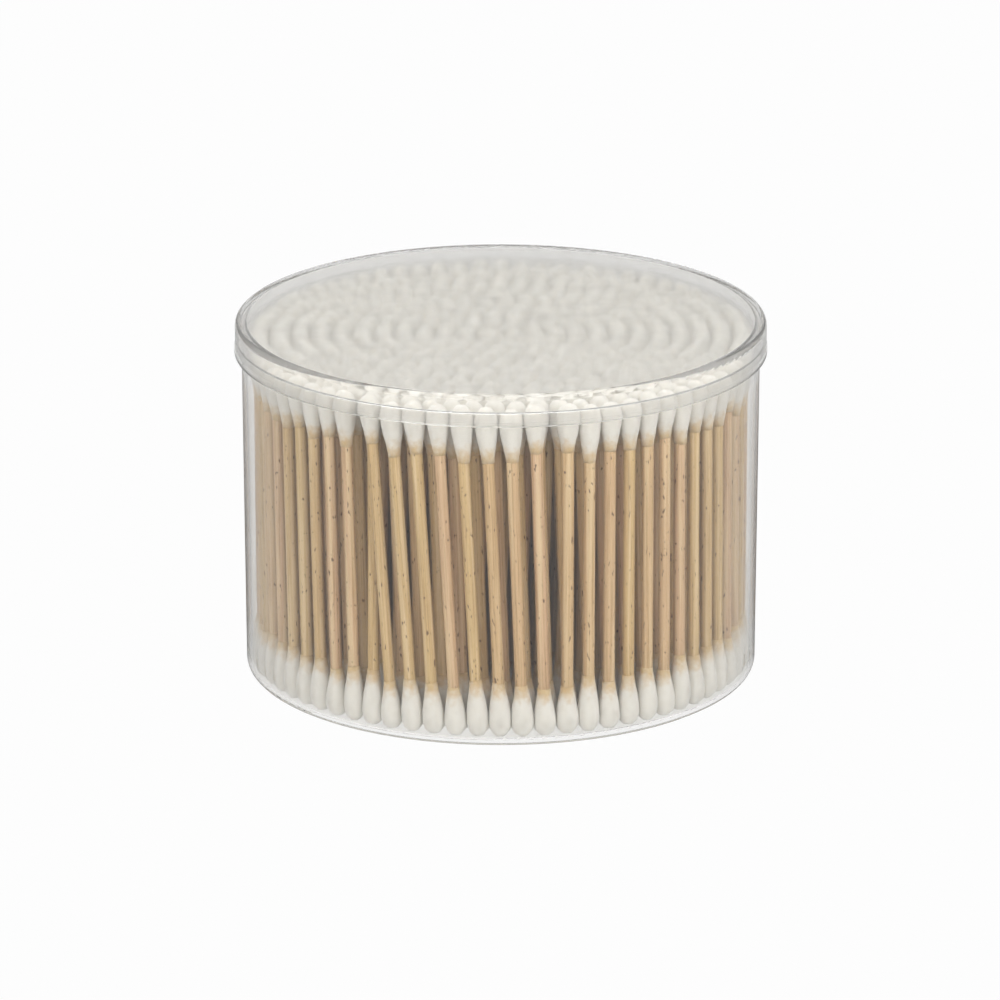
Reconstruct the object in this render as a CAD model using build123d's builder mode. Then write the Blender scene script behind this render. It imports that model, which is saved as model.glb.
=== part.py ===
from build123d import *
import os
from math import asin, cos, degrees, floor, radians, sin, sqrt

# A clear round tub with a slip-over lid, packed with cotton swabs that stand on end in rings.
# Millimetres. The origin is the centre of the tub's foot, +Z is up and -Y is the front.

# Tub
tub_radius = 57.5  # outside, at the rim
tub_draft = 0.3  # radius lost from the rim down to the foot
tub_wall = 1.2
tub_floor = 1.3
foot_fillet = 1.7
floor_corner_fillet = 0.6
rim_fillet = 0.35

# Lid
lid_slip = 0.3  # clearance between the tub's wall and the lid's skirt
lid_skirt_wall = 1.1
lid_skirt_depth = 2.8  # below the ledge, which rests on the tub's rim
lid_ledge = 1.3  # width of the ledge, measured in from the skirt
lid_ledge_fillet = 0.2
lid_plate = 1.3
lid_edge_fillet = 1.2
lid_inner_fillet = 0.25
bead_proud = 0.2
bead_height = 1.0

# Swabs
swab_length = 75.4
stick_diameter = 2.45
head_diameter = 4.5
head_length = 12.4
head_dome = 2.2  # length of the rounded end
head_full_length = 6.4  # from the end to where the cotton starts to taper
head_edge_wall = 0.15  # thickness of the cotton where it gives way to the stick
stick_inset = 1.6  # cotton beyond the end of the stick

# Packing
floor_gap = 0.05
wall_gap = 0.1
rim_below_tips = 0.65  # the tub is filled a little higher than its rim
head_room = 2.25  # between the swabs and the lid's plate
head_gap = 0.06
wall_row_slack = 0.24  # more room than that, in the row that lines the wall
slack_taken_up = 0.7  # how much of that room closes where a lean dies away
inner_lean = 2.6  # sideways, over the length of a swab, in the rings behind that row
ring_offset = 0.38  # of a place, by which each ring is turned from the one outside it
# Where the row along the wall has slumped: the swab it starts from, counted anticlockwise
# from the front as seen from above, how many lean together, and how far to the side their
# tops are. Those after it keep a lean for a while, which then dies away.
slumps = [
    {"start": 2, "count": 8, "first": 2.4, "last": 5.4, "after": 2.2, "held": 8},
    {"start": 31, "count": 6, "first": 1.4, "last": 3.5, "after": 3.5, "held": 0},
]
# The swab after the first slump, whose top is pushed into the second ring
pushed_in = slumps[0]["start"] - slumps[0]["count"]

# Worked out from the sizes above
foot_radius = tub_radius - tub_draft
foot_inner_radius = foot_radius - tub_wall
swab_bottom = tub_floor + floor_gap
swab_top = swab_bottom + swab_length
tub_height = swab_top - rim_below_tips
lid_inner_radius = tub_radius + lid_slip
lid_radius = lid_inner_radius + lid_skirt_wall
lid_hollow_radius = lid_inner_radius - lid_ledge
lid_hollow_top = swab_top + head_room
skirt_bottom = tub_height - lid_skirt_depth
lid_top = lid_hollow_top + lid_plate
stick_radius = stick_diameter / 2
head_radius = head_diameter / 2
head_pitch = head_diameter + head_gap
wall_row_radius = foot_inner_radius - wall_gap - head_radius
ring_total = floor((wall_row_radius - head_pitch / 2) / head_pitch) + 1


def ring_radius(ring):
    return wall_row_radius - ring * head_pitch


def pitch_angle(ring, pitch):
    """The angle between two swabs of a ring that stand that far apart."""
    return 2 * degrees(asin(pitch / 2 / ring_radius(ring)))


def ring_count(ring):
    """The most swabs that stand in a ring at its spacing."""
    slack = 0 if ring else wall_row_slack
    return floor(360 / pitch_angle(ring, head_pitch + slack))


def ring_step(ring):
    return 360 / ring_count(ring)


def inner_twist(ring):
    """The angle that an inner ring's tops are turned by, one way and then the other."""
    turn = degrees(inner_lean / ring_radius(ring))
    return turn if ring % 2 else -turn


def on_circle(radius, angle, height):
    """A point at an angle from the front, positive towards +X."""
    return Vector(radius * sin(radians(angle)), -radius * cos(radians(angle)), height)


def place_angle(ring, index):
    """The angle of a place in a ring. The second ring's first is behind the swab pushed in."""
    if ring == 1:
        return pushed_in * ring_step(0) + index * ring_step(1)
    return (ring * ring_offset % 1 + index) * ring_step(ring)


def wall_row_lean(index):
    """How far to the side the top of a swab is, in the row along the wall."""
    slack_angle = ring_step(0) - pitch_angle(0, head_pitch)
    closing = slack_taken_up * radians(slack_angle) * ring_radius(0)
    leans = [0]
    for slump in slumps:
        past = (slump["start"] - index) % ring_count(0)
        fading = max(0, past - slump["count"] - slump["held"])
        if past < slump["count"]:
            share = past / (slump["count"] - 1)
            return slump["first"] + share * (slump["last"] - slump["first"])
        leans.append(slump["after"] - fading * closing)
    return max(leans)


def swab_feet_and_tops(ring):
    """The radius and angle of the bottom and of the top of each swab in a ring."""
    radius = ring_radius(ring)
    for index in range(ring_count(ring)):
        foot = place_angle(ring, index)
        if ring == 0 and index == pushed_in % ring_count(0):
            yield (radius, foot), (ring_radius(1), foot - inner_twist(1))
        elif ring == 0:
            yield (radius, foot), (radius, foot - degrees(wall_row_lean(index) / radius))
        elif ring > 1 or index > 0:
            yield (radius, foot), (radius, foot - inner_twist(ring))


def swab_planes(ring):
    """A plane at the bottom of each swab in a ring, whose normal runs up the stick."""
    for foot, top in swab_feet_and_tops(ring):
        start = on_circle(*foot, swab_bottom)
        across = on_circle(*top, swab_bottom) - start
        rise = sqrt(swab_length**2 - across.length**2)
        yield Plane(origin=start, z_dir=across + Vector(0, 0, rise))


def circles_at(builder, height):
    """The round edges of a part that lie at a height."""
    circles = builder.edges().filter_by(GeomType.CIRCLE)
    return circles.filter_by_position(Axis.Z, height - 0.01, height + 0.01)


with BuildPart() as tub:
    with BuildSketch(Plane.XZ):
        with BuildLine():
            Polyline(
                (0, 0),
                (foot_radius, 0),
                (tub_radius, tub_height),
                (tub_radius - tub_wall, tub_height),
                (foot_inner_radius, tub_floor),
                (0, tub_floor),
                close=True,
            )
        make_face()
    revolve(axis=Axis.Z)
    fillet(circles_at(tub, tub_height), rim_fillet)
    fillet(circles_at(tub, tub_floor), floor_corner_fillet)
    fillet(circles_at(tub, 0), foot_fillet)

with BuildPart() as lid:
    with BuildSketch(Plane.XZ):
        with BuildLine():
            Polyline(
                (0, lid_hollow_top),
                (lid_hollow_radius, lid_hollow_top),
                (lid_hollow_radius, tub_height),
                (lid_inner_radius, tub_height),
                (lid_inner_radius, skirt_bottom),
                (lid_radius + bead_proud, skirt_bottom),
                (lid_radius + bead_proud, skirt_bottom + bead_height),
                (lid_radius, skirt_bottom + bead_height),
                (lid_radius, lid_top),
                (0, lid_top),
                close=True,
            )
        make_face()
    revolve(axis=Axis.Z)
    fillet(circles_at(lid, lid_top), lid_edge_fillet)
    fillet(circles_at(lid, lid_hollow_top), lid_inner_fillet)
    fillet(circles_at(lid, tub_height), lid_ledge_fillet)

with BuildPart() as stick:
    with Locations((0, 0, stick_inset)):
        Cylinder(
            stick_radius,
            swab_length - 2 * stick_inset,
            align=(Align.CENTER, Align.CENTER, Align.MIN),
        )

# The cotton is wound tight on the stick's end, so its bore is the stick's own size.
with BuildPart() as head:
    with BuildSketch(Plane.XZ):
        with BuildLine():
            EllipticalCenterArc(
                (0, head_dome), head_radius, head_dome, start_angle=270, arc_size=90
            )
            Polyline(
                (head_radius, head_dome),
                (head_radius, head_full_length),
                (stick_radius + head_edge_wall, head_length),
                (stick_radius, head_length),
                (stick_radius, stick_inset),
                (0, stick_inset),
                (0, 0),
            )
        make_face()
    revolve(axis=Axis.Z)

os.makedirs("parts", exist_ok=True)

tub.part.label = "tub"
export_step(tub.part, "parts/tub.step")

lid.part.label = "lid"
export_step(lid.part, "parts/lid.step")

# Rings are numbered from the wall inwards.
for ring in range(ring_total):
    planes = list(swab_planes(ring))
    feet = [plane.location for plane in planes]
    tops = [plane.offset(swab_length).location * Rot(180, 0, 0) for plane in planes]

    with BuildPart() as sticks:
        with Locations(*feet):
            add(stick.part)
    sticks.part.label = f"sticks_ring_{ring + 1:02d}"
    export_step(sticks.part, f"parts/{sticks.part.label}.step")

    with BuildPart() as lower_cotton:
        with Locations(*feet):
            add(head.part)
    lower_cotton.part.label = f"lower_cotton_ring_{ring + 1:02d}"
    export_step(lower_cotton.part, f"parts/{lower_cotton.part.label}.step")

    with BuildPart() as upper_cotton:
        with Locations(*tops):
            add(head.part)
    upper_cotton.part.label = f"upper_cotton_ring_{ring + 1:02d}"
    export_step(upper_cotton.part, f"parts/{upper_cotton.part.label}.step")
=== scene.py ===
"""The looks of a clear tub of cotton swabs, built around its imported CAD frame."""

import math
import random

import bpy
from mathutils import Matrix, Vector

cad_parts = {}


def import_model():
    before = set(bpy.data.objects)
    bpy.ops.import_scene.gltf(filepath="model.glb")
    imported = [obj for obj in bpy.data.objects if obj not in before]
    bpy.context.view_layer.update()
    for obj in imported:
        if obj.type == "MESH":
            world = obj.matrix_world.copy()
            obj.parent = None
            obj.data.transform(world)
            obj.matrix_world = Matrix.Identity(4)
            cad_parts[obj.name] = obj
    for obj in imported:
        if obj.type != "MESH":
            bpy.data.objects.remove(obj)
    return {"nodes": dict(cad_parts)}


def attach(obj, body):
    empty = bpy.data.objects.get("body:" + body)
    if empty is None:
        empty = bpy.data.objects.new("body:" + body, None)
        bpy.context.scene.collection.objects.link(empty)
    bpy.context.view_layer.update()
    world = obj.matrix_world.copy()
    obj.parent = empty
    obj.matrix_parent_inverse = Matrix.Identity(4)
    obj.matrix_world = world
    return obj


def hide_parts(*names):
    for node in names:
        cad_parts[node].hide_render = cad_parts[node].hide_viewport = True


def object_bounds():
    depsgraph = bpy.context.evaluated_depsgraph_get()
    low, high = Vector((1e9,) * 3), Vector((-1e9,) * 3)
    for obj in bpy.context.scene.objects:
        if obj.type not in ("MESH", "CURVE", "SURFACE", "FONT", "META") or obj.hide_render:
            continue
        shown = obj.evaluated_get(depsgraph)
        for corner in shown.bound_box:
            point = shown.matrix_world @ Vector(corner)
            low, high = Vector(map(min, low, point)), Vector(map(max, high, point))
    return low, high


MM = 0.001

# Swabs and how they are packed, as the CAD part has them
SWAB_LENGTH = 75.4 * MM
STICK_INSET = 1.6 * MM
HEAD_LENGTH = 12.4 * MM
HEAD_PITCH = 4.56 * MM
SWAB_BOTTOM = 1.35 * MM
WALL_ROW_RADIUS = 53.65 * MM
WALL_ROW_SLACK = 0.24 * MM
SLACK_TAKEN_UP = 0.7
INNER_LEAN = 2.6 * MM
RING_OFFSET = 0.38
SLUMPS = [
    {"start": 2, "count": 8, "first": 2.4 * MM, "last": 5.4 * MM, "after": 2.2 * MM, "held": 8},
    {"start": 31, "count": 6, "first": 1.4 * MM, "last": 3.5 * MM, "after": 3.5 * MM, "held": 0},
]
PUSHED_IN = SLUMPS[0]["start"] - SLUMPS[0]["count"]

# A real stick, a little thicker than the CAD's
STICK_RADIUS = 1.27 * MM
STICK_BOW = 0.12 * MM
STICK_GIRTH_SPREAD = 0.06

# Soft cotton, fuller than the CAD's, which presses against its neighbours
COTTON_RADIUS = 2.52 * MM
COTTON_DOME = 3.2 * MM  # length of the rounded end
COTTON_FULL = 3.6 * MM  # from the end to where it starts to taper
COTTON_EDGE = 1.31 * MM  # radius where it gives way to the stick
COTTON_LUMPS = 0.3 * MM
COTTON_GIRTH_SPREAD = 0.06
COTTON_LENGTH_SPREAD = 0.2
TIP_REACH = (0.99, 1.004)  # how high the upper tips stand, as a share of the swab's length

# Clear plastic
POLYSTYRENE_IOR = 1.55
SCUFF_ROUGHNESS = 0.05  # added where the plastic is scuffed
INNER_REFLECTIONS = 1.5  # a ray that has had more than these goes straight on
STRAIGHT_CLEARNESS = 0.97  # light that gets through each face where a ray goes straight on

# Studio
FLOOR_GREY = 0.25  # its own colour, which the lamps light
FLOOR_HALF_WIDTH = 3.0
FLOOR_DROP = 0.05 * MM
FLOOR_WHITENESS = 0.98  # the rest of what lookers see is the lit floor and its shadow
CARD_FRONT = 0.03  # how white the floor looks in reflections, in front
CARD_RISE = 0.8  # how much whiter it looks in them far behind
CARD_EDGES = (0.08, 0.4)  # metres behind the tub's middle, between which that changes
SURROUND_LIGHT = 0.04  # how bright the surround is for all but lookers
LAMP_AIM = (0, 0, 0.04)

# Camera
TUB_RADIUS = 57.5 * MM
CAMERA_DISTANCE = 23.46 * TUB_RADIUS
CAMERA_TILT = math.radians(18.33)
CAMERA_LENS = 217.15
CAMERA_SHIFT = (-0.0008, -0.0115)


# ---------------------------------------------------------------- node kit


class Socket:
    """A node's output, whose arithmetic adds Math nodes to its tree."""

    def __init__(self, tree, output):
        self.tree = tree
        self.output = output

    def _math(self, operation, *values):
        inputs = dict(enumerate(values))
        return self.tree.add("ShaderNodeMath", {"operation": operation}, inputs)

    def __add__(self, other):
        return self._math("ADD", self, other)

    def __radd__(self, other):
        return self._math("ADD", other, self)

    def __sub__(self, other):
        return self._math("SUBTRACT", self, other)

    def __rsub__(self, other):
        return self._math("SUBTRACT", other, self)

    def __mul__(self, other):
        return self._math("MULTIPLY", self, other)

    def __rmul__(self, other):
        return self._math("MULTIPLY", other, self)

    def __truediv__(self, other):
        return self._math("DIVIDE", self, other)

    def __pow__(self, other):
        return self._math("POWER", self, other)

    def __lt__(self, other):
        return self._math("LESS_THAN", self, other)

    def least(self, other):
        return self._math("MINIMUM", self, other)

    def most(self, other):
        return self._math("MAXIMUM", self, other)

    def ramp(self, low, high):
        """0 below low, 1 above high and smooth between them."""
        inputs = {"Value": self, "From Min": low, "From Max": high}
        return self.tree.add("ShaderNodeMapRange", {"interpolation_type": "SMOOTHSTEP"}, inputs)


class Tree:
    """Adds nodes to a shader or geometry tree."""

    def __init__(self, tree):
        self.tree = tree

    def add(self, kind, settings=None, inputs=None, output=0):
        """A new node's output. Its settings are set first, then the values or links of its sockets."""
        node = self.tree.nodes.new(kind)
        for name, value in (settings or {}).items():
            setattr(node, name, value)
        for key, value in (inputs or {}).items():
            if isinstance(value, Socket):
                self.tree.links.new(value.output, node.inputs[key])
            else:
                node.inputs[key].default_value = value
        return Socket(self, node.outputs[output]) if len(node.outputs) else None

    def mix(self, factor, a, b):
        """Colour a where the factor is 0 and colour b where it is 1."""
        inputs = {"Factor": factor, 6: colour_value(a), 7: colour_value(b)}
        return self.add("ShaderNodeMix", {"data_type": "RGBA"}, inputs, output=2)

    def noise(self, place, scale, detail=2.0, roughness=0.5):
        inputs = {"Vector": place, "Scale": scale, "Detail": detail, "Roughness": roughness}
        return self.add("ShaderNodeTexNoise", None, inputs)

    def stretched(self, place, scale):
        """A place with each of its axes scaled."""
        return self.add("ShaderNodeVectorMath", {"operation": "MULTIPLY"}, {0: place, 1: scale})

    def attribute(self, name, output="Fac"):
        return self.add("ShaderNodeAttribute", {"attribute_name": name}, None, output)

    def split(self, vector):
        """The three parts of a vector."""
        first = self.add("ShaderNodeSeparateXYZ", None, {0: vector})
        return [Socket(self, output) for output in first.output.node.outputs]


def colour_value(colour):
    """A colour as a Mix node takes it."""
    return colour if isinstance(colour, Socket) else (*colour, 1)


def new_material(name):
    """A material, its tree and its Principled shader."""
    material = bpy.data.materials.new(name)
    material.use_nodes = True
    return material, Tree(material.node_tree), material.node_tree.nodes["Principled BSDF"]


def link(tree, socket, shader, name):
    tree.tree.links.new(socket.output, shader.inputs[name])


# ---------------------------------------------------------------- materials


def bamboo_material():
    """Sanded bamboo: fine streaks along the stick, a tone of its own for each, and a few dark flecks."""
    material, tree, shader = new_material("bamboo")
    grain = tree.attribute("grain", "Vector")
    tone = tree.attribute("tone")
    fibre = tree.noise(tree.stretched(grain, (2600, 2600, 45)), 1, 4, 0.65)
    band = tree.noise(tree.stretched(grain, (1200, 1200, 22)), 1, 2, 0.5)
    yellow, pink = (0.62, 0.44, 0.21), (0.64, 0.43, 0.26)
    fibre_brown, straw, fleck_brown = (0.38, 0.22, 0.085), (0.74, 0.57, 0.34), (0.13, 0.07, 0.035)
    colour = tree.mix(tone.ramp(0.1, 0.9), yellow, pink)
    colour = tree.mix(fibre.ramp(0.45, 0.7) * 0.7, colour, fibre_brown)
    colour = tree.mix(band.ramp(0.45, 0.65) * 0.7, colour, straw)
    fleck = tree.noise(tree.stretched(grain, (1700, 1700, 620)), 1, 2, 0.4)
    colour = tree.mix(fleck.ramp(0.665, 0.72) * 0.85, colour, fleck_brown)
    link(tree, colour, shader, "Base Color")
    link(tree, fibre * 0.2 + 0.5, shader, "Roughness")
    inputs = {"Strength": 0.25, "Distance": 0.05 * MM, "Height": fibre}
    link(tree, tree.add("ShaderNodeBump", None, inputs), shader, "Normal")
    return material


def cotton_material():
    """Wound cotton: a soft white with faint wraps and fibres, thin enough at its edge to show the wood."""
    material, tree, shader = new_material("cotton")
    grain = tree.attribute("grain", "Vector")
    along = tree.split(grain)[2]
    puff = tree.noise(grain, 700, 3, 0.55)
    fibre = tree.noise(tree.stretched(grain, (900, 900, 5200)), 1, 3, 0.6)
    white, shade, wood = (0.75, 0.73, 0.68), (0.69, 0.665, 0.61), (0.62, 0.45, 0.24)
    colour = tree.mix(puff.ramp(0.35, 0.7) * 0.5, white, shade)
    worn = along + (puff - 0.5) * 0.4 * HEAD_LENGTH
    colour = tree.mix(worn.ramp(0.6 * HEAD_LENGTH, HEAD_LENGTH), colour, wood)
    link(tree, colour, shader, "Base Color")
    shader.inputs["Roughness"].default_value = 0.9
    shader.inputs["Sheen Weight"].default_value = 0.25
    shader.inputs["Subsurface Weight"].default_value = 0.7
    shader.inputs["Subsurface Radius"].default_value = (1.0, 0.95, 0.9)
    shader.inputs["Subsurface Scale"].default_value = 2.0 * MM
    height = puff * 0.6 + fibre * 0.4
    inputs = {"Strength": 0.5, "Distance": 0.2 * MM, "Height": height}
    link(tree, tree.add("ShaderNodeBump", None, inputs), shader, "Normal")
    return material


def clear_plastic(name, haze, clear):
    """Clear moulded polystyrene, which lets the lamps through to what it holds.

    The haze is its roughness where it isn't scuffed. The share that isn't clear is milky.
    """
    material, tree, shader = new_material(name)
    shader.inputs["Base Color"].default_value = (0.985, 0.98, 0.965, 1)
    shader.inputs["Transmission Weight"].default_value = clear
    shader.inputs["IOR"].default_value = POLYSTYRENE_IOR
    place = tree.add("ShaderNodeTexCoord", None, None, "Object")
    patches = tree.noise(place, 160, 4, 0.6)
    link(tree, patches.ramp(0.45, 0.8) * SCUFF_ROUGHNESS + haze, shader, "Roughness")
    ripple = tree.noise(tree.stretched(place, (55, 55, 18)), 1, 2, 0.4)
    inputs = {"Strength": 0.15, "Distance": 0.2 * MM, "Height": ripple}
    link(tree, tree.add("ShaderNodeBump", None, inputs), shader, "Normal")
    path = tree.add("ShaderNodeLightPath").output.node.outputs
    trapped = 1 - (Socket(tree, path["Glossy Depth"]) < INNER_REFLECTIONS)
    straight = Socket(tree, path["Is Shadow Ray"]).most(trapped)
    passed = (STRAIGHT_CLEARNESS, STRAIGHT_CLEARNESS, STRAIGHT_CLEARNESS, 1)
    open_way = tree.add("ShaderNodeBsdfTransparent", None, {"Color": passed})
    surface = Socket(tree, shader.outputs[0])
    mixed = tree.add("ShaderNodeMixShader", None, {0: straight, 1: surface, 2: open_way})
    output = material.node_tree.nodes["Material Output"]
    tree.tree.links.new(mixed.output, output.inputs["Surface"])
    return material


def floor_material():
    """A floor that looks white, and white through clear plastic, and keeps a faint shadow.

    Its front half is a dark card to reflections, so that a clear wall doesn't veil what is behind it.
    """
    material, tree, shader = new_material("pale_floor")
    shader.inputs["Base Color"].default_value = (FLOOR_GREY, FLOOR_GREY, FLOOR_GREY, 1)
    shader.inputs["Roughness"].default_value = 0.9
    path = tree.add("ShaderNodeLightPath").output.node.outputs
    looks = Socket(tree, path["Is Camera Ray"]).most(Socket(tree, path["Is Transmission Ray"]))
    looks = looks.most(1 - (Socket(tree, path["Glossy Depth"]) < INNER_REFLECTIONS))
    across = tree.split(tree.add("ShaderNodeTexCoord", None, None, "Object"))[1]
    card = CARD_FRONT + CARD_RISE * across.ramp(*CARD_EDGES)
    shown = looks.most(Socket(tree, path["Is Glossy Ray"]) * card)
    white = tree.add("ShaderNodeEmission", None, {"Color": (1, 1, 1, 1), "Strength": 1.0})
    lit = Socket(tree, shader.outputs[0])
    mixed = tree.add("ShaderNodeMixShader", None, {0: shown * FLOOR_WHITENESS, 1: lit, 2: white})
    output = material.node_tree.nodes["Material Output"]
    tree.tree.links.new(mixed.output, output.inputs["Surface"])
    return material


# ---------------------------------------------------------------- where the swabs stand


def ring_radius(ring):
    return WALL_ROW_RADIUS - ring * HEAD_PITCH


def pitch_angle(ring, pitch):
    """The angle between two swabs of a ring that stand that far apart."""
    return 2 * math.degrees(math.asin(pitch / 2 / ring_radius(ring)))


def ring_count(ring):
    slack = 0 if ring else WALL_ROW_SLACK
    return math.floor(360 / pitch_angle(ring, HEAD_PITCH + slack))


def ring_step(ring):
    return 360 / ring_count(ring)


def inner_twist(ring):
    """The angle that an inner ring's tops are turned by, one way and then the other."""
    turn = math.degrees(INNER_LEAN / ring_radius(ring))
    return turn if ring % 2 else -turn


def place_angle(ring, index):
    """The angle of a place in a ring. The second ring's first is behind the swab pushed in."""
    if ring == 1:
        return PUSHED_IN * ring_step(0) + index * ring_step(1)
    return (ring * RING_OFFSET % 1 + index) * ring_step(ring)


def wall_row_lean(index):
    """How far to the side the top of a swab is, in the row along the wall."""
    slack_angle = ring_step(0) - pitch_angle(0, HEAD_PITCH)
    closing = SLACK_TAKEN_UP * math.radians(slack_angle) * ring_radius(0)
    leans = [0]
    for slump in SLUMPS:
        past = (slump["start"] - index) % ring_count(0)
        fading = max(0, past - slump["count"] - slump["held"])
        if past < slump["count"]:
            share = past / (slump["count"] - 1)
            return slump["first"] + share * (slump["last"] - slump["first"])
        leans.append(slump["after"] - fading * closing)
    return max(leans)


def feet_and_tops(ring):
    """The radius and angle of the bottom and of the top of each swab in a ring."""
    radius = ring_radius(ring)
    for index in range(ring_count(ring)):
        foot = place_angle(ring, index)
        if ring == 0 and index == PUSHED_IN % ring_count(0):
            yield (radius, foot), (ring_radius(1), foot - inner_twist(1))
        elif ring == 0:
            lean = math.degrees(wall_row_lean(index) / radius)
            yield (radius, foot), (radius, foot - lean)
        elif ring > 1 or index > 0:
            yield (radius, foot), (radius, foot - inner_twist(ring))


def on_circle(radius, angle):
    """A point as high as the swabs' bottoms, at an angle from the front, positive towards +X."""
    turn = math.radians(angle)
    return Vector((radius * math.sin(turn), -radius * math.cos(turn), SWAB_BOTTOM))


def swab_axes():
    """The bottom of every swab, and the way from there to its top."""
    ring_total = math.floor((WALL_ROW_RADIUS - HEAD_PITCH / 2) / HEAD_PITCH) + 1
    for ring in range(ring_total):
        for foot, top in feet_and_tops(ring):
            start = on_circle(*foot)
            across = on_circle(*top) - start
            rise = math.sqrt(SWAB_LENGTH**2 - across.length_squared)
            yield start, across + Vector((0, 0, rise))


def swab_points():
    """A mesh with one point at the foot of each swab, which carries its axis and a tone of its own."""
    axes = list(swab_axes())
    mesh = bpy.data.meshes.new("swab_feet")
    mesh.from_pydata([start for start, _ in axes], [], [])
    axis = mesh.attributes.new("axis", "FLOAT_VECTOR", "POINT")
    axis.data.foreach_set("vector", [number for _, way in axes for number in way])
    draw = random.Random(11)
    tone = mesh.attributes.new("tone", "FLOAT", "POINT")
    tone.data.foreach_set("value", [draw.random() for _ in axes])
    return mesh


# ---------------------------------------------------------------- swabs by Geometry Nodes


def new_geometry_tree(name, sizes):
    """A geometry tree with named inputs for its sizes, and those inputs as sockets."""
    group = bpy.data.node_groups.new(name, "GeometryNodeTree")
    group.interface.new_socket("Geometry", in_out="OUTPUT", socket_type="NodeSocketGeometry")
    group.interface.new_socket("Geometry", in_out="INPUT", socket_type="NodeSocketGeometry")
    for size in sizes:
        group.interface.new_socket(size, in_out="INPUT", socket_type="NodeSocketFloat")
    group.interface.new_socket("Finish", in_out="INPUT", socket_type="NodeSocketMaterial")
    tree = Tree(group)
    entry = tree.add("NodeGroupInput").output.node
    return tree, {socket.name: Socket(tree, socket) for socket in entry.outputs if socket.name}


def vector(tree, x, y, z):
    return tree.add("ShaderNodeCombineXYZ", None, {0: x, 1: y, 2: z})


def named(tree, name, data_type):
    """A named attribute of the points."""
    return tree.add("GeometryNodeInputNamedAttribute", {"data_type": data_type}, {"Name": name})


def stand_on_points(tree, inputs, shape, at_top):
    """One shape on each point, along the swab's axis, or down it from the top."""
    axis = named(tree, "axis", "FLOAT_VECTOR")
    points = inputs["Geometry"]
    if at_top:
        settings = {"data_type": "FLOAT"}
        limits = {2: TIP_REACH[0], 3: TIP_REACH[1], "Seed": 9}
        reach = tree.add("FunctionNodeRandomValue", settings, limits, 1)
        tip = tree.add("ShaderNodeVectorMath", {"operation": "SCALE"}, {0: axis, "Scale": reach})
        points = tree.add("GeometryNodeSetPosition", None, {"Geometry": points, "Offset": tip})
        axis = tree.stretched(axis, (-1, -1, -1))
    settings = {"axis": "Z"}
    aligned = tree.add("FunctionNodeAlignRotationToVector", settings, {"Vector": axis})
    settings = {"data_type": "FLOAT"}
    spin = tree.add("FunctionNodeRandomValue", settings, {2: 0.0, 3: 2 * math.pi, "Seed": 3}, 1)
    spun = tree.add("FunctionNodeEulerToRotation", None, {0: vector(tree, 0, 0, spin)})
    settings = {"rotation_space": "LOCAL"}
    turned = tree.add("FunctionNodeRotateRotation", settings, {0: aligned, 1: spun})
    wide = tree.add("FunctionNodeRandomValue", {"data_type": "FLOAT"}, {2: 0.0, 3: 1.0, "Seed": 5}, 1)
    tall = tree.add("FunctionNodeRandomValue", {"data_type": "FLOAT"}, {2: 0.0, 3: 1.0, "Seed": 7}, 1)
    girth = 1 + (wide - 0.5) * inputs["Girth Spread"]
    length = 1 + (tall - 0.5) * inputs["Length Spread"]
    sizes = {"Points": points, "Instance": shape, "Rotation": turned}
    sizes["Scale"] = vector(tree, girth, girth, length)
    stood = tree.add("GeometryNodeInstanceOnPoints", None, sizes)
    return tree.add("GeometryNodeRealizeInstances", None, {0: stood})


def keep_grain(tree, shape):
    """Stores each point's place on its own piece, before it is moved, as the attribute grain."""
    place = tree.add("GeometryNodeInputPosition")
    settings = {"data_type": "FLOAT_VECTOR", "domain": "POINT"}
    inputs = {"Geometry": shape, "Name": "grain", "Value": place}
    return tree.add("GeometryNodeStoreNamedAttribute", settings, inputs)


def finish_tree(tree, inputs, shape):
    """Ends a tree with smooth shading and its material."""
    smooth = tree.add("GeometryNodeSetShadeSmooth", None, {"Geometry": shape})
    done = tree.add("GeometryNodeSetMaterial", None, {"Geometry": smooth, "Material": inputs["Finish"]})
    tree.add("NodeGroupOutput", None, {0: done})
    return tree.tree


def random_grain(tree, shape):
    """Shifts each piece's grain, so that no two pieces share a pattern."""
    grain = named(tree, "grain", "FLOAT_VECTOR")
    tone = named(tree, "tone", "FLOAT")
    shift = vector(tree, tone * 0.9, tone * 1.7, 0)
    moved = tree.add("ShaderNodeVectorMath", {"operation": "ADD"}, {0: grain, 1: shift})
    settings = {"data_type": "FLOAT_VECTOR", "domain": "POINT"}
    inputs = {"Geometry": shape, "Name": "grain", "Value": moved}
    return tree.add("GeometryNodeStoreNamedAttribute", settings, inputs)


def stick_tree():
    """Round sticks with a slight bow, each turned its own way about its axis."""
    sizes = ["Radius", "Inset", "Length", "Bow", "Girth Spread", "Length Spread"]
    tree, inputs = new_geometry_tree("stand_sticks", sizes)
    depth = inputs["Length"] - 2 * inputs["Inset"]
    settings = {"fill_type": "NGON"}
    sizes = {"Vertices": 12, "Side Segments": 4, "Radius": inputs["Radius"], "Depth": depth}
    stick = tree.add("GeometryNodeMeshCylinder", settings, sizes)
    height = tree.split(tree.add("GeometryNodeInputPosition"))[2]
    along = height / depth + 0.5
    bow = 4 * along * (1 - along) * inputs["Bow"]
    lift = vector(tree, bow, 0, depth * 0.5 + inputs["Inset"])
    stick = tree.add("GeometryNodeSetPosition", None, {"Geometry": stick, "Offset": lift})
    stick = keep_grain(tree, stick)
    stood = random_grain(tree, stand_on_points(tree, inputs, stick, at_top=False))
    return finish_tree(tree, inputs, stood)


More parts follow.
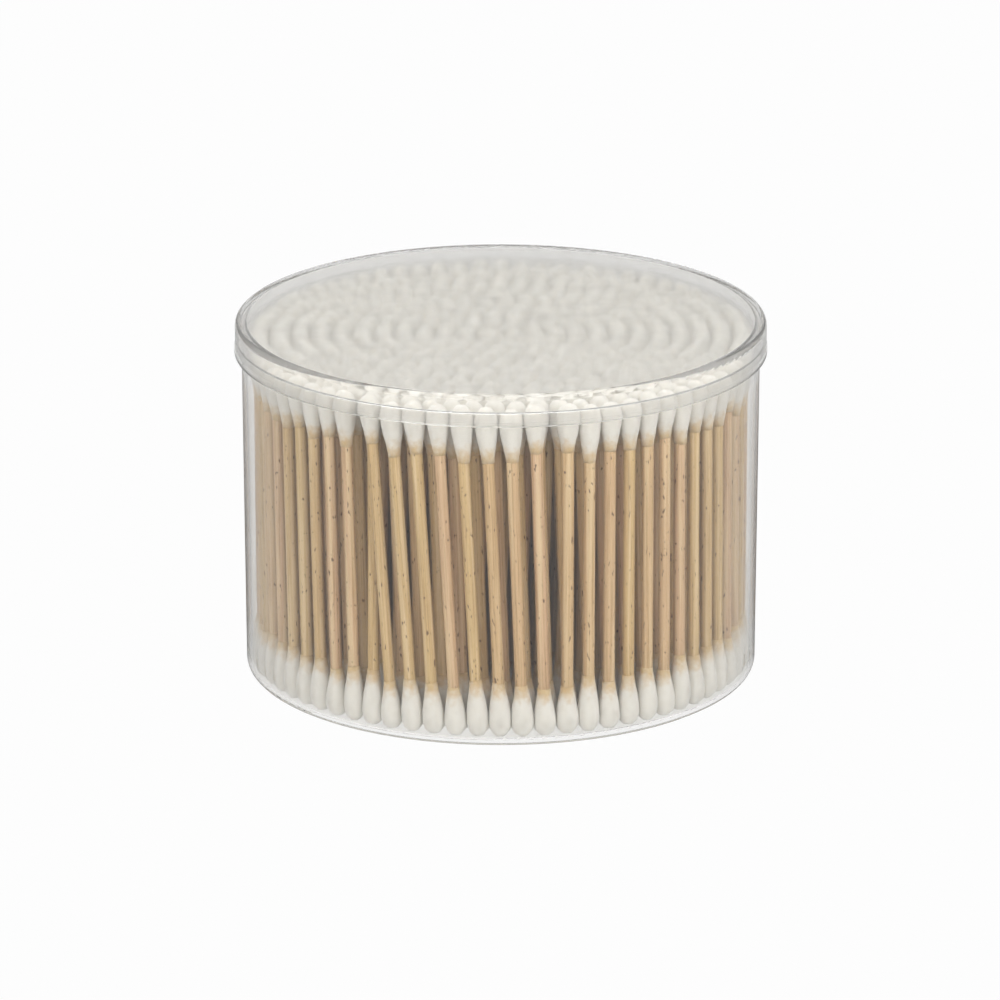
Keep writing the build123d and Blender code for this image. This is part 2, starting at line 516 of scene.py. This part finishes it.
def cotton_tree(at_top):
    """Wound cotton tips: a dome, a full body and a taper to the stick, with an uneven surface."""
    sizes = ["Radius", "Length", "Dome", "Full", "Edge", "Lumps", "Girth Spread", "Length Spread"]
    tree, inputs = new_geometry_tree("wind_upper_cotton" if at_top else "wind_lower_cotton", sizes)
    ball = tree.add("GeometryNodeMeshUVSphere", None, {"Segments": 10, "Rings": 9, "Radius": 1.0})
    x, y, z = tree.split(tree.add("GeometryNodeInputPosition"))
    along = (z + 1) * 0.5 * inputs["Length"]
    dome = (1 - along.least(inputs["Dome"]) / inputs["Dome"]) ** 2
    full = inputs["Radius"] * (1 - dome).most(0) ** 0.5
    taper = along.ramp(inputs["Full"], 1.05 * inputs["Length"])
    radius = full + (inputs["Edge"] - inputs["Radius"]) * taper
    # The ball's two poles stay on the axis, and each ring of points takes its new radius.
    reach = (x * x + y * y).most(1e-9) ** 0.5
    open_end = (z * z < 0.9999) * radius / reach
    place = vector(tree, x * open_end, y * open_end, along)
    head = tree.add("GeometryNodeSetPosition", None, {"Geometry": ball, "Position": place})
    stood = stand_on_points(tree, inputs, keep_grain(tree, head), at_top)
    spot = tree.add("GeometryNodeInputPosition")
    noise = {"Vector": spot, "Scale": 520.0, "Detail": 1.0}
    lump = (tree.add("ShaderNodeTexNoise", None, noise) - 0.5) * inputs["Lumps"]
    normal = tree.add("GeometryNodeInputNormal")
    offset = tree.add("ShaderNodeVectorMath", {"operation": "SCALE"}, {0: normal, "Scale": lump})
    uneven = tree.add("GeometryNodeSetPosition", None, {"Geometry": stood, "Offset": offset})
    return finish_tree(tree, inputs, random_grain(tree, uneven))


def grown(name, group, sizes, finish, points):
    """The plain mesh that a geometry tree makes from the points."""
    seed = bpy.data.objects.new("seed", points)
    bpy.context.scene.collection.objects.link(seed)
    modifier = seed.modifiers.new("grow", "NODES")
    modifier.node_group = group
    for item in group.interface.items_tree:
        if item.in_out == "INPUT" and item.name in sizes:
            modifier[item.identifier] = sizes[item.name]
        elif item.name == "Finish":
            modifier[item.identifier] = finish
    depsgraph = bpy.context.evaluated_depsgraph_get()
    mesh = bpy.data.meshes.new_from_object(seed.evaluated_get(depsgraph))
    bpy.data.objects.remove(seed)
    mesh.name = name
    piece = bpy.data.objects.new(name, mesh)
    bpy.context.scene.collection.objects.link(piece)
    return piece


def swabs(frame):
    """Every swab in the tub: the sticks and both ends' cotton, in place of the CAD's plain ones."""
    points = swab_points()
    bamboo, cotton = bamboo_material(), cotton_material()
    stick_sizes = {
        "Radius": STICK_RADIUS, "Inset": STICK_INSET, "Length": SWAB_LENGTH,
        "Bow": STICK_BOW, "Girth Spread": STICK_GIRTH_SPREAD, "Length Spread": 0.0,
    }
    cotton_sizes = {
        "Radius": COTTON_RADIUS, "Length": HEAD_LENGTH, "Dome": COTTON_DOME, "Full": COTTON_FULL,
        "Edge": COTTON_EDGE, "Lumps": COTTON_LUMPS, "Girth Spread": COTTON_GIRTH_SPREAD,
        "Length Spread": COTTON_LENGTH_SPREAD,
    }
    made = {
        "sticks": ("bamboo_sticks", stick_tree(), stick_sizes, bamboo, "bamboo"),
        "lower_cotton": ("lower_cotton_tips", cotton_tree(False), cotton_sizes, cotton, "cotton"),
        "upper_cotton": ("upper_cotton_tips", cotton_tree(True), cotton_sizes, cotton, "cotton"),
    }
    for start, (name, group, sizes, finish, slot) in made.items():
        piece = grown(name, group, sizes, finish, points)
        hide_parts(*[node for node in frame["nodes"] if node.startswith(start + "_ring")])
        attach(piece, "tub")


# ---------------------------------------------------------------- tub and lid


def paint(node, material):
    """Gives a CAD node's object one material."""
    node.data.materials.clear()
    node.data.materials.append(material)


# ---------------------------------------------------------------- studio


def floor():
    mesh = bpy.data.meshes.new("floor")
    half = FLOOR_HALF_WIDTH
    square = [(-half, -half, 0), (half, -half, 0), (half, half, 0), (-half, half, 0)]
    mesh.from_pydata(square, [], [(0, 1, 2, 3)])
    mesh.materials.append(floor_material())
    plane = bpy.data.objects.new("floor", mesh)
    bpy.context.scene.collection.objects.link(plane)
    plane.location.z = -FLOOR_DROP


def lamp(name, place, size, power, mirrored):
    """A soft lamp that points at the tub. Only a mirrored one shows in shiny things."""
    data = bpy.data.lights.new(name, "AREA")
    data.shape = "RECTANGLE"
    data.size, data.size_y = size
    data.energy = power
    light = bpy.data.objects.new(name, data)
    light.location = place
    light.rotation_euler = (Vector(LAMP_AIM) - Vector(place)).to_track_quat("-Z", "Y").to_euler()
    light.visible_glossy = mirrored
    bpy.context.scene.collection.objects.link(light)


def world():
    """A white surround for lookers and through clear plastic, and a low even light for the rest."""
    surround = bpy.data.worlds.new("studio")
    surround.use_nodes = True
    bpy.context.scene.world = surround
    tree = Tree(surround.node_tree)
    background = surround.node_tree.nodes["Background"]
    path = tree.add("ShaderNodeLightPath").output.node.outputs
    looks = Socket(tree, path["Is Camera Ray"]).most(Socket(tree, path["Is Transmission Ray"]))
    background.inputs["Color"].default_value = (1, 1, 1, 1)
    level = SURROUND_LIGHT + looks * (1 - SURROUND_LIGHT)
    tree.tree.links.new(level.output, background.inputs["Strength"])


def camera(low, high):
    """A long lens, a little above the tub and square to its front."""
    aim = Vector((0, 0, (low.z + high.z) / 2))
    data = bpy.data.cameras.new("camera")
    data.sensor_width = 36
    data.lens = CAMERA_LENS
    data.shift_x, data.shift_y = CAMERA_SHIFT
    data.clip_end = 50
    view = bpy.data.objects.new("camera", data)
    back = Vector((0, -math.cos(CAMERA_TILT), math.sin(CAMERA_TILT)))
    view.location = aim + back * CAMERA_DISTANCE
    view.rotation_euler = (-back).to_track_quat("-Z", "Y").to_euler()
    bpy.context.scene.collection.objects.link(view)
    bpy.context.scene.camera = view


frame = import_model()
cad_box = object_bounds()
paint(frame["nodes"]["tub"], clear_plastic("clear_tub", 0.015, 0.99))
paint(frame["nodes"]["lid"], clear_plastic("clear_lid", 0.11, 0.9))
swabs(frame)
floor()
lamp("key", (0.75, -1.1, 0.85), (0.9, 0.9), 7.6, mirrored=False)
lamp("top", (-0.2, 0.5, 1.5), (1.0, 1.0), 10.3, mirrored=False)
lamp("fill", (-0.8, -1.5, 0.4), (0.9, 0.6), 5, mirrored=True)
world()
camera(*cad_box)
bpy.context.scene.view_settings.view_transform = "Standard"
